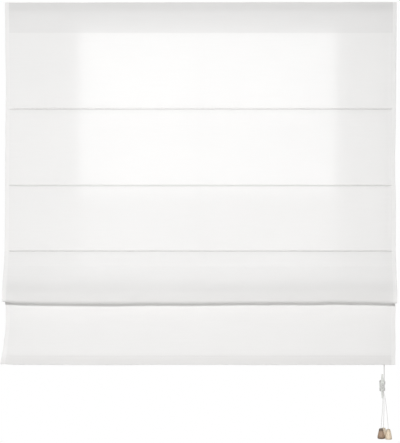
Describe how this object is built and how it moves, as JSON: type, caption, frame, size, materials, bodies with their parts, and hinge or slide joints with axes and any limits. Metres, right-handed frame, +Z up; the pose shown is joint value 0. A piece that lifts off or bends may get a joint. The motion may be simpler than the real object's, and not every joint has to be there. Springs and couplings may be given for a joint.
{
  "type": "roman blind",
  "caption": "Cord-operated roman blind: flat pleated cloth with rods in pockets under a headrail, part raised in a soft fold, with cleat and turned wooden cord pulls.",
  "frame": {"origin": "middle of the line through the screw holes of the two wall brackets, on the wall's face", "axes": "+Z up, -Y out from the wall towards the room, +X to the right as seen from the room"},
  "size_m": [1.5, 0.0803, 1.6715],
  "materials": {
    "rail": "white powder coat on an aluminium extrusion",
    "white_plastic": "white moulded plastic",
    "clear_plastic": "translucent white moulded plastic",
    "steel": "white painted steel strip",
    "tape": "white woven hook and loop tape",
    "cloth": "plain white woven polyester, softly see-through",
    "cord": "white braided polyester cord",
    "bar": "white painted flat aluminium bar",
    "roller": "white acetal",
    "axle": "bright steel pin",
    "wood": "turned beech, thin clear varnish",
    "ring": "clear acrylic ring",
    "rod": "white glass-fibre rod"
  },
  "bodies": {
    "headrail": {"bracket_left": "steel", "bracket_right": "steel", "cleat": "white_plastic", "cord_end_centre": "cord", "cord_end_left": "cord", "cord_end_right": "cord", "cord_guide_centre": "clear_plastic", "cord_guide_left": "clear_plastic", "cord_guide_right": "clear_plastic", "cord_outlet": "clear_plastic", "cord_pull_centre": "wood", "cord_pull_left": "wood", "cord_pull_right": "wood", "cord_winding": "cord", "end_cap_left": "white_plastic", "end_cap_right": "white_plastic", "fabric": "cloth", "guide_axle_centre": "axle", "guide_axle_left": "axle", "guide_axle_right": "axle", "headrail": "rail", "hook_tape": "tape", "lift_cord_centre": "cord", "lift_cord_left": "cord", "lift_cord_right": "cord", "loop_tape": "tape", "outlet_axle_centre": "axle", "outlet_axle_left": "axle", "outlet_axle_right": "axle", "pull_cord_centre": "cord", "pull_cord_left": "cord", "pull_cord_right": "cord"},
    "rod_1": {"rod_1": "rod", "ring_1_left": "ring", "ring_1_centre": "ring", "ring_1_right": "ring"},
    "rod_2": {"rod_2": "rod", "ring_2_left": "ring", "ring_2_centre": "ring", "ring_2_right": "ring"},
    "rod_3": {"rod_3": "rod", "ring_3_left": "ring", "ring_3_centre": "ring", "ring_3_right": "ring"},
    "rod_4": {"rod_4": "rod", "ring_4_left": "ring", "ring_4_centre": "ring", "ring_4_right": "ring", "bottom_bar": "bar", "cord_knot_left": "cord", "cord_knot_centre": "cord", "cord_knot_right": "cord"},
    "guide_roller_left": {"guide_roller_left": "roller"},
    "outlet_roller_left": {"outlet_roller_left": "roller"},
    "guide_roller_centre": {"guide_roller_centre": "roller"},
    "outlet_roller_centre": {"outlet_roller_centre": "roller"},
    "guide_roller_right": {"guide_roller_right": "roller"},
    "outlet_roller_right": {"outlet_roller_right": "roller"}
  },
  "joints": [
    {"name": "rod_1_lift", "type": "slide", "parent": "headrail", "child": "rod_1", "axis": [0, 0, 1], "range_m": [0, 0.36], "deforming": ["fabric"]},
    {"name": "rod_2_lift", "type": "slide", "parent": "rod_1", "child": "rod_2", "axis": [0, 0, 1], "range_m": [0, 0.279], "deforming": ["lift_cord_left"]},
    {"name": "rod_3_lift", "type": "slide", "parent": "rod_2", "child": "rod_3", "axis": [0, 0, 1], "range_m": [0, 0.2375], "deforming": ["lift_cord_centre"]},
    {"name": "rod_4_lift", "type": "slide", "parent": "rod_3", "child": "rod_4", "axis": [0, 0, 1], "range_m": [-0.178, 0.106], "deforming": ["lift_cord_right"]},
    {"name": "guide_roller_left_spin", "type": "hinge", "parent": "headrail", "child": "guide_roller_left", "pos_m": [-0.5948, -0.01415, 0.0248], "axis": [0, 1, 0], "continuous": true},
    {"name": "guide_roller_centre_spin", "type": "hinge", "parent": "headrail", "child": "guide_roller_centre", "pos_m": [0.0052, -0.01415, 0.0248], "axis": [0, 1, 0], "continuous": true},
    {"name": "guide_roller_right_spin", "type": "hinge", "parent": "headrail", "child": "guide_roller_right", "pos_m": [0.6052, -0.01415, 0.0248], "axis": [0, 1, 0], "continuous": true},
    {"name": "outlet_roller_left_spin", "type": "hinge", "parent": "headrail", "child": "outlet_roller_left", "pos_m": [0.7118, -0.01415, 0.0328], "axis": [0, 1, 0], "continuous": true},
    {"name": "outlet_roller_centre_spin", "type": "hinge", "parent": "headrail", "child": "outlet_roller_centre", "pos_m": [0.6998, -0.01415, 0.0288], "axis": [0, 1, 0], "continuous": true},
    {"name": "outlet_roller_right_spin", "type": "hinge", "parent": "headrail", "child": "outlet_roller_right", "pos_m": [0.6878, -0.01415, 0.0248], "axis": [0, 1, 0], "continuous": true}
  ]
}
